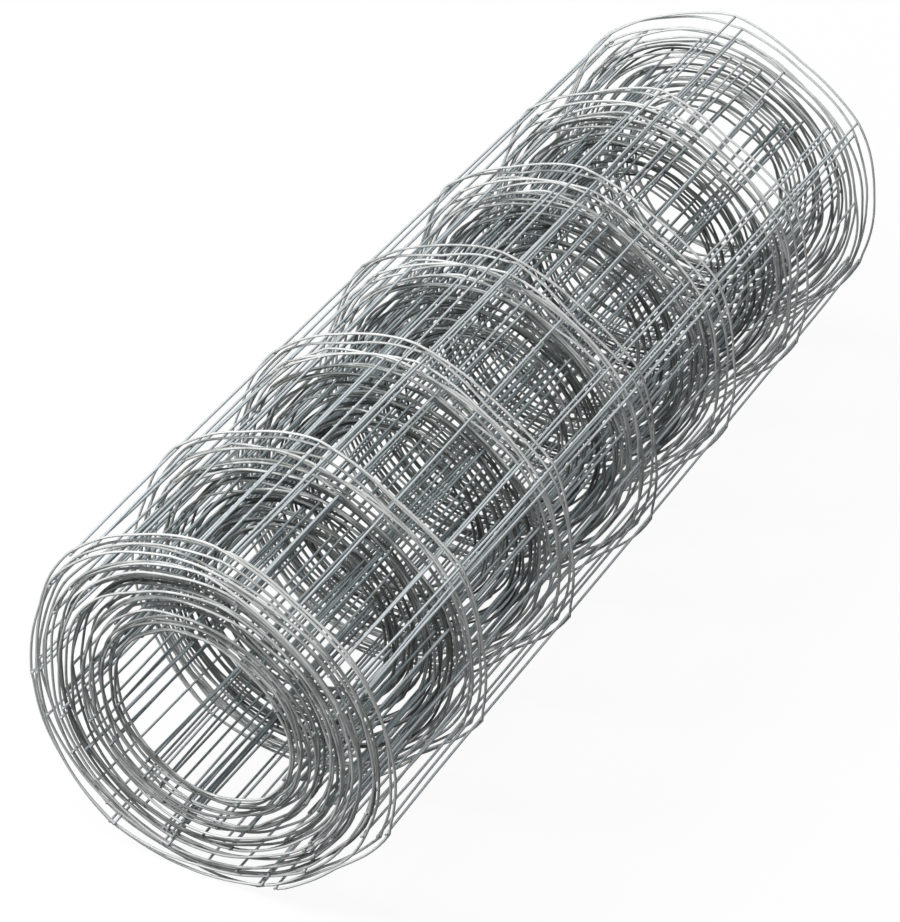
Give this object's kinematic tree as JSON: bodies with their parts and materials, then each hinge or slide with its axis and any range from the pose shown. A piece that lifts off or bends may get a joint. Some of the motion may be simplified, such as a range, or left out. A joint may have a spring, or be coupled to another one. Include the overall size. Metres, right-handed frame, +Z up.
{
  "type": "roll of wire fencing",
  "caption": "Roll of galvanised welded wire mesh fencing lying on its side, wound around an open bore, with the edge wires of its turns showing as a spiral on both ends.",
  "frame": {"origin": "on the floor under the middle of the lying roll", "axes": "+X along the roll's axis, from the end that faces the viewer to the far end; +Z up"},
  "size_m": [0.604, 0.236, 0.236],
  "materials": {
    "galvanised_wire": "galvanised wire, dull silver grey with a soft sheen"
  },
  "bodies": {
    "root": {"fence_roll": "galvanised_wire"}
  },
  "joints": []
}
